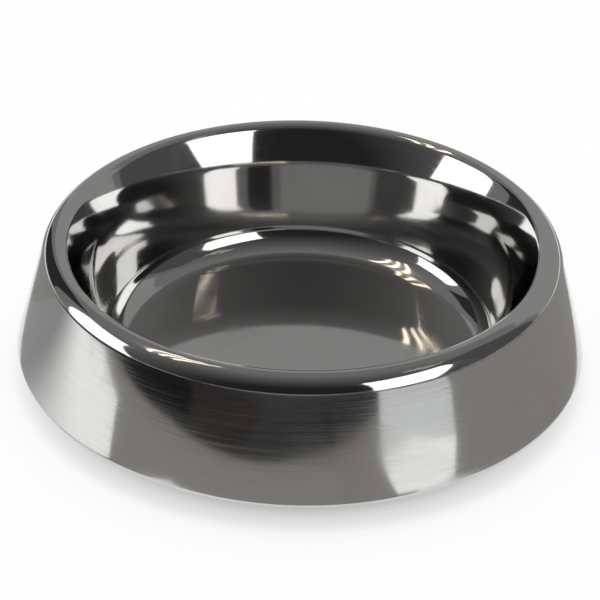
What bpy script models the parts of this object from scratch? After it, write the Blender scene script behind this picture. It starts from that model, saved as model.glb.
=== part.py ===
"""Anti-ant pet bowl: a pressed stainless steel shell standing on a bonded rubber foot ring.

Metres, +Z up. The origin is the centre of the face that the bowl rests on.
Both pieces are turned shapes, so each is drawn as half a section (distance from the axis, height)
and spun about Z. Angles in the section are measured from +X, anticlockwise.
"""

import math

import bpy
from mathutils import Vector

# Steel shell. Bends are measured on the polished face.
SHEET = 0.0008
WELL_DEPTH = 0.0671
WELL_TAPER = math.radians(8.5)
WELL_CORNER = 0.009
CROWN_RADIUS = 0.1220
RIM_INNER_BEND = 0.0048
RIM_OUTER_BEND = 0.0088
SKIRT_RADIUS = 0.1450
SKIRT_LIFT = 0.0120
HEM_BEND = 0.0016
HEM_TURN = math.radians(265)

# Rubber foot ring
FOOT_THICKNESS = 0.0034
FOOT_INNER_MARGIN = 0.0050
FOOT_DRAFT = math.radians(6)
LIP_THICKNESS = 0.0022
LIP_WRAP = math.radians(58)
FOOT_EDGE = 0.0010
BOND_LINE = 0.0003

# Facets
TURN_STEPS = 96
BEND_STEPS = 5
HEM_STEPS = 8
EDGE_STEPS = 2
MERGE_DISTANCE = 0.00001

STEEL = {"colour": (0.62, 0.61, 0.60), "metallic": 1.0, "roughness": 0.12}
RUBBER = {"colour": (0.018, 0.018, 0.019), "metallic": 0.0, "roughness": 0.75}


def towards(angle):
    """The unit vector of the section that points along an angle."""
    return Vector((math.cos(angle), math.sin(angle)))


def arc(centre, radius, start, end, steps):
    """Points of an arc from one angle to another, both ends included."""
    angles = [start + (end - start) * step / steps for step in range(steps + 1)]
    return [centre + radius * towards(angle) for angle in angles]


def common_tangent(upper, upper_radius, lower, lower_radius):
    """Angle of the outward normal of the straight line that touches both circles on their outside."""
    run = upper - lower
    facing = math.acos((lower_radius - upper_radius) / run.length)
    return math.atan2(run.y, run.x) - facing


# Heights are the shell's own, from the underside of its floor.
FLOOR_HEIGHT = SHEET
CROWN_HEIGHT = FLOOR_HEIGHT + WELL_DEPTH
SHELL_LIFT = FOOT_THICKNESS + BOND_LINE

RIM_INNER_CENTRE = Vector((CROWN_RADIUS, CROWN_HEIGHT - RIM_INNER_BEND))
RIM_OUTER_CENTRE = Vector((CROWN_RADIUS, CROWN_HEIGHT - RIM_OUTER_BEND))
HEM_CENTRE = Vector((SKIRT_RADIUS - HEM_BEND, SKIRT_LIFT - SHELL_LIFT + HEM_BEND))
SKIRT_FACING = common_tangent(RIM_OUTER_CENTRE, RIM_OUTER_BEND, HEM_CENTRE, HEM_BEND)

UP = math.pi / 2
DOWN = -math.pi / 2


def well_corner_centre():
    """Centre of the bend between the floor and the wall, which runs down from the rim at its taper."""
    wall_facing = towards(math.pi - WELL_TAPER)
    below_rim = RIM_INNER_CENTRE + (RIM_INNER_BEND + WELL_CORNER) * wall_facing
    height = FLOOR_HEIGHT + WELL_CORNER
    drop = below_rim.y - height
    return Vector((below_rim.x - drop * math.tan(WELL_TAPER), height))


def shell_section():
    """The polished face: floor, wall, rim and skirt, down to the hem, which turns in and up."""
    section = [Vector((0, FLOOR_HEIGHT))]
    section += arc(well_corner_centre(), WELL_CORNER, DOWN, -WELL_TAPER, BEND_STEPS)
    section += arc(RIM_INNER_CENTRE, RIM_INNER_BEND, math.pi - WELL_TAPER, UP, BEND_STEPS)
    section += arc(RIM_OUTER_CENTRE, RIM_OUTER_BEND, UP, SKIRT_FACING, BEND_STEPS)[1:]
    section += arc(HEM_CENTRE, HEM_BEND, SKIRT_FACING, SKIRT_FACING - HEM_TURN, HEM_STEPS)
    return section


def foot_section():
    """The ring's outline, cupped to the well's corner, starting at the tip of its lip."""
    corner = well_corner_centre() + Vector((0, SHELL_LIFT))
    seat = WELL_CORNER + SHEET + BOND_LINE
    tip_radius = LIP_THICKNESS / 2
    wrapped = DOWN + LIP_WRAP
    tip = corner + (seat + tip_radius) * towards(wrapped)
    side = -FOOT_DRAFT
    side_top = tip + tip_radius * towards(side)
    outer_foot = side_top.x - (side_top.y - FOOT_EDGE) * math.tan(FOOT_DRAFT)
    outer_edge = Vector((outer_foot - FOOT_EDGE / math.cos(FOOT_DRAFT), FOOT_EDGE))
    inner_edge_distance = corner.x - FOOT_INNER_MARGIN + FOOT_EDGE
    lower_edge = Vector((inner_edge_distance, FOOT_EDGE))
    upper_edge = Vector((inner_edge_distance, FOOT_THICKNESS - FOOT_EDGE))
    outline = arc(tip, tip_radius, wrapped + math.pi, side, EDGE_STEPS)
    outline += arc(outer_edge, FOOT_EDGE, side, DOWN, EDGE_STEPS)
    outline += arc(lower_edge, FOOT_EDGE, DOWN, -math.pi, EDGE_STEPS)
    outline += arc(upper_edge, FOOT_EDGE, math.pi, UP, EDGE_STEPS)
    outline += arc(corner, seat, DOWN, wrapped, BEND_STEPS)[:-1]
    return outline


def finish(name, colour, metallic, roughness):
    material = bpy.data.materials.new(name)
    material.use_nodes = True
    shader = material.node_tree.nodes["Principled BSDF"]
    shader.inputs["Base Color"].default_value = (*colour, 1.0)
    shader.inputs["Metallic"].default_value = metallic
    shader.inputs["Roughness"].default_value = roughness
    return material


def turned(name, section, closed, material, collection):
    """An object made by spinning a section about Z. Its material lies on the right of the section's path."""
    edges = [(index, index + 1) for index in range(len(section) - 1)]
    if closed:
        edges.append((len(section) - 1, 0))
    mesh = bpy.data.meshes.new(name)
    mesh.from_pydata([(point.x, 0, point.y) for point in section], edges, [])
    mesh.materials.append(material)
    piece = bpy.data.objects.new(name, mesh)
    collection.objects.link(piece)
    screw = piece.modifiers.new("spin", "SCREW")
    screw.axis = "Z"
    screw.angle = math.tau
    screw.steps = TURN_STEPS
    screw.render_steps = TURN_STEPS
    screw.use_merge_vertices = True
    screw.merge_threshold = MERGE_DISTANCE
    screw.use_smooth_shade = True
    return piece


def steel_shell(collection):
    """One pressed sheet. The section is its polished face, and the sheet lies behind it."""
    shell = turned("steel_shell", shell_section(), False, finish("polished_steel", **STEEL), collection)
    sheet = shell.modifiers.new("sheet", "SOLIDIFY")
    sheet.thickness = SHEET
    sheet.offset = -1
    sheet.use_even_offset = True
    sheet.use_rim = True
    shell.location.z = SHELL_LIFT
    return shell


def foot_ring(collection):
    """The rubber ring, bonded under the corner of the well."""
    return turned("foot_ring", foot_section(), True, finish("black_rubber", **RUBBER), collection)


def build():
    for stale in list(bpy.data.objects):
        bpy.data.objects.remove(stale)
    bowl = bpy.data.collections.new("anti_ant_bowl")
    bpy.context.scene.collection.children.link(bowl)
    origin = bpy.data.objects.new("bowl_origin", None)
    bowl.objects.link(origin)
    for piece in (steel_shell(bowl), foot_ring(bowl)):
        piece.parent = origin


build()
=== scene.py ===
import math

import bmesh
import bpy
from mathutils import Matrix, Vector


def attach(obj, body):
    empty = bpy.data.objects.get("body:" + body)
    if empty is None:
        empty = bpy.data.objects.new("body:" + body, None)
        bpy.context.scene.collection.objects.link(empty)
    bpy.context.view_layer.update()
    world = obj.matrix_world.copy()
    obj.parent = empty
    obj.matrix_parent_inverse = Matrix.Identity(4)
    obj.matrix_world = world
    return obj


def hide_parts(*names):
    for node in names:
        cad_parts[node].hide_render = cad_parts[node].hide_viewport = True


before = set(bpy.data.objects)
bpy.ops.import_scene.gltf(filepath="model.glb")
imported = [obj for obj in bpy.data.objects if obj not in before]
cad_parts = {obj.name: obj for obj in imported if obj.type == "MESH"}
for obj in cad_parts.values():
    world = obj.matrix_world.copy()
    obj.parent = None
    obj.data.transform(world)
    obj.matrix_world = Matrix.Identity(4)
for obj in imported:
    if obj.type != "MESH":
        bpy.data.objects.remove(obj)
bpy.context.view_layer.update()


# Steel shell: one disc of stainless sheet, pressed into a round well, rolled over a smooth rim and
# flared out as a skirt. The well and rim are polished like a mirror, and the skirt is brushed as it
# turns on a lathe. Its lower edge is curled in, and the unseen back keeps the mill's grey finish.

SHEET = 0.0008
FLOOR_HEIGHT = 0.0045
FLOOR_RADIUS = 0.08647
CORNER_BEND = 0.0160
WALL_SLANT = math.radians(76.4)
WALL_LENGTH = 0.03325
FLARE_BEND = 0.0800
FLARE_SLANT = math.radians(61)
RIM_INNER_BEND = 0.0050
RIM_OUTER_BEND = 0.0088
SKIRT_SLANT = math.radians(74.205)
SKIRT_LENGTH = 0.053167
HEM_BEND = 0.0016
HEM_CURL = math.radians(265)
BRUSHING_TOP = 0.0652
BRUSHING_INNER_RADIUS = 0.1300
TURN_STEPS = 360
SHORT_SPAN = 0.0006
SAME_PLACE = 0.0000005


def straight(mesh, pen, length):
    """Draws a straight run, with a short span at each end that keeps the next bend's shading out of it."""
    along = Vector((math.cos(pen["heading"]), 0, math.sin(pen["heading"])))
    for span in (SHORT_SPAN, length - 2 * SHORT_SPAN, SHORT_SPAN):
        drawn = bmesh.ops.extrude_vert_indiv(mesh, verts=[pen["tip"]])
        pen["tip"] = drawn["verts"][0]
        bmesh.ops.translate(mesh, verts=[pen["tip"]], vec=along * span)


def bend(mesh, pen, radius, turn, steps):
    """Draws an arc. A positive turn goes to the pen's left, and a negative one to its right."""
    side = math.copysign(math.pi / 2, turn)
    across = Vector((math.cos(pen["heading"] + side), 0, math.sin(pen["heading"] + side)))
    drawn = bmesh.ops.spin(
        mesh,
        geom=[pen["tip"]],
        cent=pen["tip"].co + across * radius,
        axis=(0, -1, 0),
        dvec=(0, 0, 0),
        angle=turn,
        steps=steps,
    )
    pen["tip"] = [part for part in drawn["geom_last"] if isinstance(part, bmesh.types.BMVert)][0]
    pen["heading"] += turn


def turn_on_axis(mesh, steps):
    """Turns the drawn outline once round the bowl's axis and closes it, with its faces outwards."""
    bmesh.ops.spin(
        mesh,
        geom=list(mesh.verts) + list(mesh.edges),
        cent=(0, 0, 0),
        axis=(0, 0, 1),
        dvec=(0, 0, 0),
        angle=math.tau,
        steps=steps,
        use_merge=True,
    )
    bmesh.ops.remove_doubles(mesh, verts=list(mesh.verts), dist=SAME_PLACE)
    bmesh.ops.recalc_face_normals(mesh, faces=list(mesh.faces))


def press_shell():
    mesh = bmesh.new()
    pen = {"tip": mesh.verts.new((0, 0, FLOOR_HEIGHT)), "heading": 0.0}
    straight(mesh, pen, FLOOR_RADIUS)
    bend(mesh, pen, CORNER_BEND, WALL_SLANT, steps=32)
    straight(mesh, pen, WALL_LENGTH)
    bend(mesh, pen, FLARE_BEND, FLARE_SLANT - WALL_SLANT, steps=24)
    bend(mesh, pen, RIM_INNER_BEND, -FLARE_SLANT, steps=20)
    bend(mesh, pen, RIM_OUTER_BEND, -SKIRT_SLANT, steps=22)
    straight(mesh, pen, SKIRT_LENGTH)
    bend(mesh, pen, HEM_BEND, -HEM_CURL, steps=18)
    turn_on_axis(mesh, TURN_STEPS)
    crown = max(mesh.faces, key=lambda face: face.calc_center_median().z)
    if crown.normal.z < 0:
        bmesh.ops.reverse_faces(mesh, faces=list(mesh.faces))
    for face in mesh.faces:
        middle = face.calc_center_median()
        outside = math.hypot(middle.x, middle.y) > BRUSHING_INNER_RADIUS
        face.material_index = 1 if outside and middle.z < BRUSHING_TOP else 0
        face.smooth = True
    data = bpy.data.meshes.new("bowl_shell")
    mesh.to_mesh(data)
    mesh.free()
    return data


def add_node(tree, kind, settings=None, **inputs):
    """Adds a node. An input is a plain value or another node's output."""
    node = tree.nodes.new(kind)
    for name, value in (settings or {}).items():
        setattr(node, name, value)
    for name, value in inputs.items():
        socket = node.inputs[int(name[1:])] if name[1:].isdigit() else node.inputs[name.replace("_", " ")]
        if isinstance(value, bpy.types.NodeSocket):
            tree.links.new(value, socket)
        else:
            socket.default_value = value
    return node


def worked_out(tree, operation, *values, clamp=False):
    """The result of a maths node."""
    inputs = {f"i{number}": value for number, value in enumerate(values)}
    return add_node(tree, "ShaderNodeMath", {"operation": operation, "use_clamp": clamp}, **inputs).outputs[0]


def stretched(tree, value, low, high, to_low=0.0, to_high=1.0, easing="LINEAR"):
    """A value taken from one range to another, and held at the ends."""
    node = add_node(
        tree,
        "ShaderNodeMapRange",
        {"interpolation_type": easing},
        Value=value,
        From_Min=low,
        From_Max=high,
        To_Min=to_low,
        To_Max=to_high,
    )
    return node.outputs["Result"]


def blended(tree, share, first, second):
    """A colour between two: a share of 0 is the first and 1 is the second."""
    node = add_node(tree, "ShaderNodeMix", {"data_type": "RGBA"}, i0=share, i6=first, i7=second)
    return node.outputs[2]


def cloudy(tree, place, scale, detail, roughness=0.5, distortion=0.0):
    """Plain noise."""
    node = add_node(
        tree,
        "ShaderNodeTexNoise",
        Vector=place,
        Scale=scale,
        Detail=detail,
        Roughness=roughness,
        Distortion=distortion,
    )
    return node.outputs["Fac"]


def new_group(name, inputs, outputs):
    """A shader node group, with its inputs as (name, default) and its outputs as names."""
    group = bpy.data.node_groups.new(name, "ShaderNodeTree")
    group.interface.new_socket("Place", in_out="INPUT", socket_type="NodeSocketVector")
    for label, default in inputs:
        socket = group.interface.new_socket(label, in_out="INPUT", socket_type="NodeSocketFloat")
        socket.default_value = default
    for label in outputs:
        group.interface.new_socket(label, in_out="OUTPUT", socket_type="NodeSocketFloat")
    return group, group.nodes.new("NodeGroupInput").outputs, group.nodes.new("NodeGroupOutput").inputs


def turned_lines():
    """Fine lines that run round the axis, as a polishing wheel leaves them on a turning bowl."""
    group, given, result = new_group("turned_lines", (("Lines", 900.0), ("Wander", 1.5)), ("Line",))
    place = add_node(group, "ShaderNodeSeparateXYZ", i0=given["Place"]).outputs
    flat = add_node(group, "ShaderNodeCombineXYZ", X=place["X"], Y=place["Y"]).outputs[0]
    radius = add_node(group, "ShaderNodeVectorMath", {"operation": "LENGTH"}, i0=flat).outputs["Value"]
    ahead = add_node(group, "ShaderNodeVectorMath", {"operation": "NORMALIZE"}, i0=flat).outputs[0]
    facing = add_node(group, "ShaderNodeSeparateXYZ", i0=ahead).outputs
    on_line = add_node(
        group,
        "ShaderNodeCombineXYZ",
        X=worked_out(group, "MULTIPLY", radius, given["Lines"]),
        Y=worked_out(group, "MULTIPLY", place["Z"], given["Lines"]),
        Z=worked_out(group, "MULTIPLY", facing["X"], given["Wander"]),
    )
    lines = add_node(
        group,
        "ShaderNodeTexNoise",
        {"noise_dimensions": "4D"},
        Vector=on_line.outputs[0],
        W=worked_out(group, "MULTIPLY", facing["Y"], given["Wander"]),
        Scale=1.0,
        Detail=3.0,
        Roughness=0.65,
    )
    group.links.new(lines.outputs["Fac"], result["Line"])
    return group


def handling_marks():
    """Cloudy smudges, hair scratches and patches of fine scuffs, as packing and handling leave them."""
    group, given, result = new_group(
        "handling_marks",
        (("Smudge size", 26.0), ("Scratches", 60.0)),
        ("Smudge", "Scratch", "Scuff"),
    )
    clouds = cloudy(group, given["Place"], given["Smudge size"], detail=5.0, roughness=0.62, distortion=0.6)
    group.links.new(stretched(group, clouds, 0.54, 0.74), result["Smudge"])

    scratch = 0.0
    for turn, stretch in ((0.5, 0.06), (1.9, 0.05), (2.8, 0.09)):
        laid = add_node(
            group,
            "ShaderNodeMapping",
            Vector=given["Place"],
            Rotation=(turn * 0.4, turn * 0.3, turn),
            Scale=(1.0, stretch, 1.0),
        )
        hairs = cloudy(group, laid.outputs["Vector"], given["Scratches"], detail=7.0, roughness=0.72)
        scratch = worked_out(group, "MAXIMUM", scratch, stretched(group, hairs, 0.705, 0.735))
    group.links.new(scratch, result["Scratch"])

    patch = stretched(group, cloudy(group, given["Place"], 17.0, detail=3.0, roughness=0.55), 0.57, 0.68)
    upright = add_node(group, "ShaderNodeMapping", Vector=given["Place"], Scale=(1.0, 1.0, 0.35))
    specks = cloudy(group, upright.outputs["Vector"], 900.0, detail=4.0, roughness=0.8)
    scuff = worked_out(group, "MULTIPLY", patch, stretched(group, specks, 0.56, 0.72))
    group.links.new(scuff, result["Scuff"])
    return group


def steel(name, lines, marks, colour, stained, roughness, spread, haze, anisotropic, texture):
    """Bare stainless steel. Rubbed lines between the clear ones of the polish haze what it mirrors."""
    material = bpy.data.materials.new(name)
    material.use_nodes = True
    tree = material.node_tree
    shader = tree.nodes["Principled BSDF"]
    shader.inputs["Metallic"].default_value = 1.0
    shader.inputs["Anisotropic"].default_value = anisotropic
    place = add_node(tree, "ShaderNodeTexCoord").outputs["Object"]
    kind = "ShaderNodeGroup"
    fine = add_node(
        tree, kind, {"node_tree": lines}, Place=place, Lines=texture["fine_lines"], Wander=2.0,
    ).outputs["Line"]
    broad = add_node(
        tree, kind, {"node_tree": lines}, Place=place, Lines=texture["broad_lines"], Wander=0.8,
    ).outputs["Line"]
    worn = add_node(
        tree,
        kind,
        {"node_tree": marks},
        Place=place,
        Smudge_size=texture["smudge_size"],
        Scratches=texture["scratches"],
    ).outputs

    dulled = worked_out(tree, "MULTIPLY_ADD", broad, texture["line_tint"], worn["Smudge"], clamp=True)
    tint = blended(tree, dulled, (*colour, 1.0), (*stained, 1.0))
    tree.links.new(tint, shader.inputs["Base Color"])

    by_line = stretched(tree, broad, 0.3, 0.7, roughness, roughness + spread)
    rubbed = stretched(tree, fine, 0.50, 0.62, 0.0, haze)
    rough = worked_out(tree, "ADD", rubbed, by_line)
    for mark in ("Smudge", "Scratch", "Scuff"):
        rough = worked_out(tree, "MULTIPLY_ADD", worn[mark], texture[f"{mark.lower()}_roughness"], rough)
    tree.links.new(rough, shader.inputs["Roughness"])

    ripple = cloudy(tree, place, texture["ripple_scale"], detail=1.0)
    relief = worked_out(tree, "MULTIPLY", ripple, texture["ripple_height"])
    relief = worked_out(tree, "MULTIPLY_ADD", fine, texture["fine_height"], relief)
    relief = worked_out(tree, "MULTIPLY_ADD", broad, texture["broad_height"], relief)
    relief = worked_out(tree, "MULTIPLY_ADD", worn["Scratch"], -texture["scratch_depth"], relief)
    surface = add_node(tree, "ShaderNodeBump", Strength=1.0, Distance=0.001, Height=relief)
    tree.links.new(surface.outputs["Normal"], shader.inputs["Normal"])
    if anisotropic:
        round_axis = add_node(tree, "ShaderNodeTangent", {"direction_type": "RADIAL", "axis": "Z"})
        tree.links.new(round_axis.outputs["Tangent"], shader.inputs["Tangent"])
    return material


line_group = turned_lines()
mark_group = handling_marks()
mirror_steel = steel(
    "mirror_polished_steel",
    line_group,
    mark_group,
    colour=(0.66, 0.655, 0.645),
    stained=(0.60, 0.59, 0.575),
    roughness=0.036,
    spread=0.024,
    haze=0.06,
    anisotropic=0.0,
    texture={
        "fine_lines": 9000.0, "fine_height": 0.00004,
        "broad_lines": 420.0, "broad_height": 0.00015, "line_tint": 0.15,
        "ripple_scale": 14.0, "ripple_height": 0.004,
        "smudge_size": 24.0, "smudge_roughness": 0.07,
        "scratches": 70.0, "scratch_depth": 0.0006, "scratch_roughness": 0.10,
        "scuff_roughness": 0.07,
    },
)
brushed_steel = steel(
    "brushed_steel",
    line_group,
    mark_group,
    colour=(0.64, 0.632, 0.618),
    stained=(0.58, 0.57, 0.55),
    roughness=0.058,
    spread=0.034,
    haze=0.10,
    anisotropic=0.5,
    texture={
        "fine_lines": 5200.0, "fine_height": 0.00006,
        "broad_lines": 900.0, "broad_height": 0.00016, "line_tint": 0.9,
        "ripple_scale": 11.0, "ripple_height": 0.004,
        "smudge_size": 20.0, "smudge_roughness": 0.05,
        "scratches": 55.0, "scratch_depth": 0.0010, "scratch_roughness": 0.10,
        "scuff_roughness": 0.06,
    },
)
mill_steel = steel(
    "mill_finish_steel",
    line_group,
    mark_group,
    colour=(0.52, 0.515, 0.505),
    stained=(0.44, 0.435, 0.42),
    roughness=0.32,
    spread=0.10,
    haze=0.12,
    anisotropic=0.0,
    texture={
        "fine_lines": 1400.0, "fine_height": 0.0004,
        "broad_lines": 300.0, "broad_height": 0.0010, "line_tint": 0.4,
        "ripple_scale": 9.0, "ripple_height": 0.006,
        "smudge_size": 16.0, "smudge_roughness": 0.08,
        "scratches": 50.0, "scratch_depth": 0.0010, "scratch_roughness": 0.10,
        "scuff_roughness": 0.12,
    },
)

shell = bpy.data.objects.new("bowl_shell", press_shell())
for finish in (mirror_steel, brushed_steel, mill_steel):
    shell.data.materials.append(finish)
bpy.context.scene.collection.objects.link(shell)
sheet = shell.modifiers.new("sheet", "SOLIDIFY")
sheet.thickness = SHEET
sheet.offset = -1
sheet.use_even_offset = True
sheet.use_rim = True
sheet.material_offset = 2
sheet.material_offset_rim = 2
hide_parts("steel_shell")
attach(shell, "root")


# Foot ring: black rubber, moulded with a lip that cups the corner of the well, and glued there. The
# bowl stands on it alone, so its lowest part is dusty, and the rest keeps a faint moulded bloom.

FOOT_INNER_RADIUS = 0.0951
FOOT_OUTER_RADIUS = 0.1100
FOOT_EDGE = 0.0010
LIP_EDGE = 0.0011
LIP_WRAP = math.radians(58)
BOND_LINE = 0.0003
RING_STEPS = 240
DUST_HEIGHT = 0.0016
RUBBER_BLACK = (0.014, 0.014, 0.015, 1.0)
RUBBER_BLOOM = (0.026, 0.026, 0.027, 1.0)
DUST = (0.16, 0.155, 0.145, 1.0)


def mould_ring():
    corner = Vector((FLOOR_RADIUS, 0, FLOOR_HEIGHT + CORNER_BEND))
    seat = CORNER_BEND + SHEET + BOND_LINE
    lip_end = LIP_WRAP - math.pi / 2
    lip = corner + Vector((math.cos(lip_end), 0, math.sin(lip_end))) * (seat + LIP_EDGE)
    outer_edge = Vector((FOOT_OUTER_RADIUS - FOOT_EDGE, 0, FOOT_EDGE))
    side = lip - outer_edge
    wider = LIP_EDGE - FOOT_EDGE
    side_heading = math.atan2(side.z, side.x) - math.asin(wider / side.length)
    across = FOOT_INNER_RADIUS + FOOT_EDGE - corner.x
    below = math.sqrt((seat + FOOT_EDGE) ** 2 - across ** 2)
    seat_end = math.atan2(-below, across)

    mesh = bmesh.new()
    pen = {"tip": mesh.verts.new((FOOT_INNER_RADIUS + FOOT_EDGE, 0, 0)), "heading": 0.0}
    straight(mesh, pen, outer_edge.x - pen["tip"].co.x)
    bend(mesh, pen, FOOT_EDGE, side_heading, steps=6)
    straight(mesh, pen, math.sqrt(side.length ** 2 - wider ** 2))
    bend(mesh, pen, LIP_EDGE, lip_end + 1.5 * math.pi - pen["heading"], steps=8)
    bend(mesh, pen, seat, seat_end - lip_end, steps=12)
    bend(mesh, pen, FOOT_EDGE, 1.5 * math.pi - pen["heading"], steps=5)
    straight(mesh, pen, corner.z - below - FOOT_EDGE)
    bend(mesh, pen, FOOT_EDGE, math.pi / 2, steps=6)
    bmesh.ops.remove_doubles(mesh, verts=list(mesh.verts), dist=SAME_PLACE)
    turn_on_axis(mesh, RING_STEPS)
    for face in mesh.faces:
        face.smooth = True
    data = bpy.data.meshes.new("rubber_ring")
    mesh.to_mesh(data)
    mesh.free()
    return data


def moulded_rubber():
    material = bpy.data.materials.new("moulded_black_rubber")
    material.use_nodes = True
    tree = material.node_tree
    shader = tree.nodes["Principled BSDF"]
    shader.inputs["Specular IOR Level"].default_value = 0.35
    place = add_node(tree, "ShaderNodeTexCoord").outputs["Object"]
    bloom = cloudy(tree, place, 40.0, detail=4.0, roughness=0.6)
    grain = cloudy(tree, place, 1600.0, detail=2.0)
    height = add_node(tree, "ShaderNodeSeparateXYZ", i0=place).outputs["Z"]
    dusty = worked_out(tree, "MULTIPLY", stretched(tree, height, 0.0, DUST_HEIGHT, 1.0, 0.0), bloom)
    colour = blended(tree, dusty, blended(tree, bloom, RUBBER_BLACK, RUBBER_BLOOM), DUST)
    tree.links.new(colour, shader.inputs["Base Color"])
    tree.links.new(stretched(tree, bloom, 0.3, 0.7, 0.62, 0.82), shader.inputs["Roughness"])
    surface = add_node(tree, "ShaderNodeBump", Strength=0.5, Distance=0.00005, Height=grain)
    tree.links.new(surface.outputs["Normal"], shader.inputs["Normal"])
    return material


ring = bpy.data.objects.new("rubber_ring", mould_ring())
ring.data.materials.append(moulded_rubber())
bpy.context.scene.collection.objects.link(ring)
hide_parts("foot_ring")
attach(ring, "root")


# Floor: a plain white sweep. Camera, glossy and transmission rays all see it near white. Part of its
# brightness near the bowl comes from the lamp, so it keeps the bowl's shadow. Under the bowl its white glow
# is also turned down, which paints a dark shadow there.

FLOOR_REACH = 2.8
FLOOR_COLOUR = (0.82, 0.82, 0.82, 1.0)
FLOOR_GLOW = 0.72
FLOOR_LIT_REACH = 0.45
# Painted shadow under the bowl: the glow left there, and the radii over which it rises back to the floor's
# glow.
FLOOR_PAINTED_SHADOW = 0.10
PAINTED_SHADOW_RADIUS = 0.112
PAINTED_SHADOW_END_RADIUS = 0.144
WHITE = (1.0, 1.0, 1.0, 1.0)


def flat_board(name, corners, height):
    """A flat piece of the set, laid out by its corners seen from above."""
    mesh = bmesh.new()
    outline = [mesh.verts.new((east, north, height)) for east, north in corners]
    bmesh.ops.contextual_create(mesh, geom=outline)
    bmesh.ops.recalc_face_normals(mesh, faces=list(mesh.faces))
    for face in mesh.faces:
        if face.normal.z < 0:
            face.normal_flip()
    data = bpy.data.meshes.new(name)
    mesh.to_mesh(data)
    mesh.free()
    board = bpy.data.objects.new(name, data)
    bpy.context.scene.collection.objects.link(board)
    return board


def white_background(tree, glow):
    """How much of a surface is a plain white glow: the same for camera, glossy and transmission rays."""
    path = add_node(tree, "ShaderNodeLightPath").outputs
    seen = worked_out(tree, "ADD", path["Is Camera Ray"], path["Is Glossy Ray"])
    seen = worked_out(tree, "ADD", seen, path["Is Transmission Ray"], clamp=True)
    return worked_out(tree, "MULTIPLY", seen, glow)


def floor_white():
    material = bpy.data.materials.new("white_floor")
    material.use_nodes = True
    tree = material.node_tree
    tree.nodes.clear()
    lit = add_node(tree, "ShaderNodeBsdfDiffuse", Color=FLOOR_COLOUR)
    glowing = add_node(tree, "ShaderNodeEmission", Color=WHITE, Strength=1.0)
    place = add_node(tree, "ShaderNodeTexCoord").outputs["Object"]
    away = add_node(tree, "ShaderNodeVectorMath", {"operation": "LENGTH"}, i0=place).outputs["Value"]
    # Painted shadow: the white glow is turned down under the bowl, so the floor there is dark whatever the
    # light.
    near = stretched(tree, away, PAINTED_SHADOW_RADIUS, PAINTED_SHADOW_END_RADIUS, FLOOR_PAINTED_SHADOW, FLOOR_GLOW, "SMOOTHSTEP")
    glow = stretched(tree, away, FLOOR_LIT_REACH, FLOOR_REACH / 2, near, 1.0, "SMOOTHSTEP")
    share = white_background(tree, glow)
    both = add_node(tree, "ShaderNodeMixShader", i0=share, i1=lit.outputs[0], i2=glowing.outputs[0])
    add_node(tree, "ShaderNodeOutputMaterial", Surface=both.outputs[0])
    return material


floor_corners = (
    (-FLOOR_REACH, -FLOOR_REACH), (FLOOR_REACH, -FLOOR_REACH),
    (FLOOR_REACH, FLOOR_REACH), (-FLOOR_REACH, FLOOR_REACH),
)
floor = flat_board("floor", floor_corners, 0.0)
floor.data.materials.append(floor_white())


# Cards: the grey table, the darkness beyond its edge, and two pale panels. They lie round the bowl, just
# outside the frame of the camera below, and only the steel sees them: the skirt mirrors them.

BEYOND_LEVEL = 0.0004
PATCH_LEVEL = 0.0006
STRIPE_LEVEL = 0.0007
TABLE_LEVEL = 0.0008
PANEL_LEVEL = 0.0012
COOL_WHITE = (0.98, 0.99, 1.0)


def only_mirrored(piece):
    """The steel mirrors this piece of the set. It throws no shadow, and nothing else sees it."""
    piece.visible_camera = False
    piece.visible_diffuse = False
    piece.visible_transmission = False
    piece.visible_shadow = False


def glowing_card(name, brightness, colour=(1.0, 1.0, 1.0)):
    material = bpy.data.materials.new(name)
    material.use_nodes = True
    tree = material.node_tree
    tree.nodes.clear()
    light = add_node(tree, "ShaderNodeEmission", Color=(*colour, 1.0), Strength=brightness)
    add_node(tree, "ShaderNodeOutputMaterial", Surface=light.outputs[0])
    return material


def fading_card(name, colour, along, dim, bright):
    """A card that brightens one way. Dim and bright are each a distance that way and its brightness."""
    material = glowing_card(name, 1.0, colour)
    tree = material.node_tree
    place = add_node(tree, "ShaderNodeTexCoord").outputs["Object"]
    distance = add_node(tree, "ShaderNodeVectorMath", {"operation": "DOT_PRODUCT"}, i0=place, i1=along)
    fade = stretched(tree, distance.outputs["Value"], dim[0], bright[0], dim[1], bright[1], "SMOOTHSTEP")
    tree.links.new(fade, tree.nodes["Emission"].inputs["Strength"])
    return material


def lay_card(name, card, height, *corners):
    board = flat_board(name, corners, height)
    board.data.materials.append(card)
    only_mirrored(board)


table_grey = glowing_card("table_grey", 0.30, (1.0, 0.97, 0.94))
beyond_dark = glowing_card("beyond_dark", 0.042)
beyond_black = glowing_card("beyond_black", 0.010)
beyond_brown = glowing_card("beyond_brown", 0.032, (1.0, 0.90, 0.84))
panel_pale = glowing_card("panel_pale", 1.25, COOL_WHITE)
panel_fading = fading_card("panel_fading", COOL_WHITE, (-0.3, -1.0, 0.0), (0.062, 0.35), (0.156, 1.24))
panel_dim = glowing_card("panel_dim", 0.84, (0.95, 0.99, 1.0))

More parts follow.
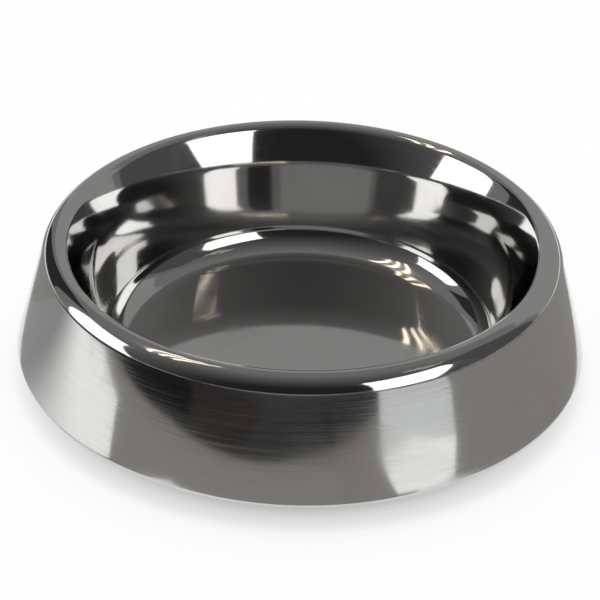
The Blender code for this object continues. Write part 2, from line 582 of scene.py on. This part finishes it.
lay_card(
    "beyond_table", beyond_dark, BEYOND_LEVEL,
    (-1.6, -1.9), (1.6, -1.9), (1.6, -0.200), (-1.6, -0.200),
)
lay_card(
    "beyond_left", beyond_dark, BEYOND_LEVEL,
    (-1.6, -0.200), (-0.130, -0.200), (-0.168, 0.05), (-0.230, 0.45), (-1.6, 0.45),
)
lay_card(
    "beyond_right", beyond_dark, BEYOND_LEVEL,
    (0.139, -0.200), (1.6, -0.200), (1.6, 0.45), (0.220, 0.45), (0.170, 0.05),
)
lay_card(
    "beyond_black", beyond_black, PATCH_LEVEL,
    (-0.60, -0.20), (-0.38, -0.20), (-0.255, -0.350), (-0.50, -0.64), (-0.60, -0.64),
)
lay_card(
    "beyond_brown", beyond_brown, PATCH_LEVEL,
    (-0.262, -0.370), (-0.140, -0.370), (-0.200, -0.90), (-0.75, -0.90), (-0.60, -0.72),
)
lay_card(
    "dark_stripe_near", beyond_black, STRIPE_LEVEL,
    (0.100, -0.50), (0.118, -0.50), (0.150, -0.90), (0.132, -0.90),
)
lay_card(
    "dark_stripe_far", beyond_black, STRIPE_LEVEL,
    (0.180, -0.56), (0.192, -0.56), (0.236, -0.90), (0.224, -0.90),
)
lay_card(
    "table_front", table_grey, TABLE_LEVEL,
    (-0.395, -0.200), (-0.301, -0.332), (-0.210, -0.376), (-0.084, -0.432), (0.0, -0.486),
    (0.098, -0.523), (0.170, -0.545), (0.330, -0.620), (0.620, -0.640), (0.700, -0.200),
)
lay_card(
    "table_left", table_grey, TABLE_LEVEL,
    (-0.395, -0.200), (-0.130, -0.200), (-0.168, 0.05), (-0.230, 0.45), (-0.70, 0.45),
)
lay_card(
    "table_right", table_grey, TABLE_LEVEL,
    (0.139, -0.200), (0.700, -0.200), (0.700, 0.45), (0.220, 0.45), (0.170, 0.05),
)
lay_card(
    "pale_left", panel_fading, PANEL_LEVEL,
    (-0.167, 0.050), (-0.395, 0.050), (-0.395, -0.128), (-0.300, -0.172), (-0.148, -0.134), (-0.150, -0.060),
)
lay_card(
    "pale_right", panel_pale, PANEL_LEVEL,
    (0.144, -0.168), (0.250, -0.215), (0.262, -0.345), (0.185, -0.378), (0.104, -0.214),
)
lay_card(
    "pale_right_far", panel_dim, PANEL_LEVEL,
    (0.250, -0.215), (0.435, -0.312), (0.480, -0.360), (0.520, -0.90),
    (0.505, -0.90), (0.185, -0.378), (0.262, -0.345),
)


# Studio: a dim room with two tall softboxes, warm strips of light under its ceiling, and a grey
# backdrop behind the bowl. It stands outside the camera's frame, and the polished steel mirrors it.

PANEL_DISTANCE = 1.5
ROOM_RADIUS = 2.9
STRIP_HEIGHTS = (("low", 56.5), ("middle", 60.0), ("high", 63.5))
LEFT_STRIP = 1.3
RIGHT_STRIP = 0.6
LAMP_WATTS = 45.0
LAMP_SIZE = 1.6
WORLD_LIGHT = 0.4


def compass(azimuth, elevation, distance):
    """A point seen from the bowl. Azimuth 0 is straight behind it, and 90 is to its right."""
    east = math.sin(azimuth) * math.cos(elevation)
    north = math.cos(azimuth) * math.cos(elevation)
    return Vector((east, north, math.sin(elevation))) * distance


def panel(name, corners, card):
    """A flat panel at a set distance from the bowl, by its corners as (azimuth, elevation) in degrees."""
    mesh = bmesh.new()
    points = [compass(math.radians(side), math.radians(up), PANEL_DISTANCE) for side, up in corners]
    bmesh.ops.contextual_create(mesh, geom=[mesh.verts.new(point) for point in points])
    data = bpy.data.meshes.new(name)
    mesh.to_mesh(data)
    mesh.free()
    piece = bpy.data.objects.new(name, data)
    piece.data.materials.append(card)
    only_mirrored(piece)
    bpy.context.scene.collection.objects.link(piece)


softbox = glowing_card("softbox", 2.0)
warm_strip = glowing_card("warm_strip", 3.2, (1.0, 0.87, 0.70))
faint_strip = glowing_card("faint_strip", 1.7, (1.0, 0.90, 0.76))
backdrop = glowing_card("grey_backdrop", 0.31)
dark_wall = glowing_card("dark_wall", 0.030)
dim_wall = glowing_card("dim_wall", 0.085)

panel("left_softbox", ((-113, 1), (-77, 1), (-67, 40), (-96, 42)), softbox)
panel("right_softbox", ((127, 1), (152, 1), (152, 45), (111, 46), (112, 36)), softbox)
panel("backdrop", ((-26, 1), (72, 1), (68, 38), (-24, 38)), backdrop)
panel("left_wall", ((-62, 4), (-34, 4), (-34, 40), (-56, 44)), dark_wall)
panel("right_wall", ((76, 4), (108, 4), (106, 55), (74, 52)), dim_wall)
for place, low in STRIP_HEIGHTS:
    left_top = low + LEFT_STRIP
    right_top = low + RIGHT_STRIP
    panel(f"left_strip_{place}", ((-84, low), (-22, low), (-22, left_top), (-84, left_top)), warm_strip)
    panel(f"right_strip_{place}", ((93, low), (110, low), (110, right_top), (93, right_top)), faint_strip)


def dim_room():
    """A half sphere round the set, darkest behind the camera."""
    mesh = bmesh.new()
    bmesh.ops.create_uvsphere(mesh, u_segments=48, v_segments=24, radius=ROOM_RADIUS)
    cut = list(mesh.verts) + list(mesh.edges) + list(mesh.faces)
    bmesh.ops.bisect_plane(mesh, geom=cut, plane_co=(0, 0, -0.002), plane_no=(0, 0, -1), clear_outer=True)
    bmesh.ops.reverse_faces(mesh, faces=list(mesh.faces))
    data = bpy.data.meshes.new("dim_room")
    mesh.to_mesh(data)
    mesh.free()
    room = bpy.data.objects.new("dim_room", data)
    bpy.context.scene.collection.objects.link(room)
    material = glowing_card("dim_room", 1.0)
    tree = material.node_tree
    place = add_node(tree, "ShaderNodeTexCoord").outputs["Object"]
    north = add_node(tree, "ShaderNodeSeparateXYZ", i0=place).outputs["Y"]
    tree.links.new(stretched(tree, north, -2.4, 1.0, 0.02, 0.20), tree.nodes["Emission"].inputs["Strength"])
    room.data.materials.append(material)
    only_mirrored(room)


dim_room()

overhead = bpy.data.lights.new("overhead_lamp", "AREA")
overhead.shape = "SQUARE"
overhead.size = LAMP_SIZE
overhead.energy = LAMP_WATTS
lamp = bpy.data.objects.new("overhead_lamp", overhead)
lamp.location = (0.0, 0.15, 2.2)
lamp.visible_glossy = False
lamp.visible_camera = False
bpy.context.scene.collection.objects.link(lamp)

world = bpy.data.worlds.new("white_world")
world.use_nodes = True
sky = world.node_tree
sky.nodes.clear()
sky_level = stretched(sky, white_background(sky, 1.0), 0.0, 1.0, WORLD_LIGHT, 1.0)
sky_light = add_node(sky, "ShaderNodeBackground", Color=WHITE, Strength=sky_level)
add_node(sky, "ShaderNodeOutputWorld", Surface=sky_light.outputs[0])
bpy.context.scene.world = world


# Camera: a long lens, 34 degrees above the table and nearly a metre away, turned very slightly.

CAMERA_PLACE = (0.0, -0.82415, 0.55853)
CAMERA_TURN = (57.426, -1.183, 0.803)
LENS = 114.48

view = bpy.data.cameras.new("camera")
view.sensor_width = 36.0
view.lens = LENS
view.clip_start = 0.01
view.clip_end = 20.0
camera = bpy.data.objects.new("camera", view)
camera.location = CAMERA_PLACE
camera.rotation_euler = [math.radians(angle) for angle in CAMERA_TURN]
bpy.context.scene.collection.objects.link(camera)
bpy.context.scene.camera = camera
bpy.context.scene.view_settings.view_transform = "Standard"


bpy.context.view_layer.update()
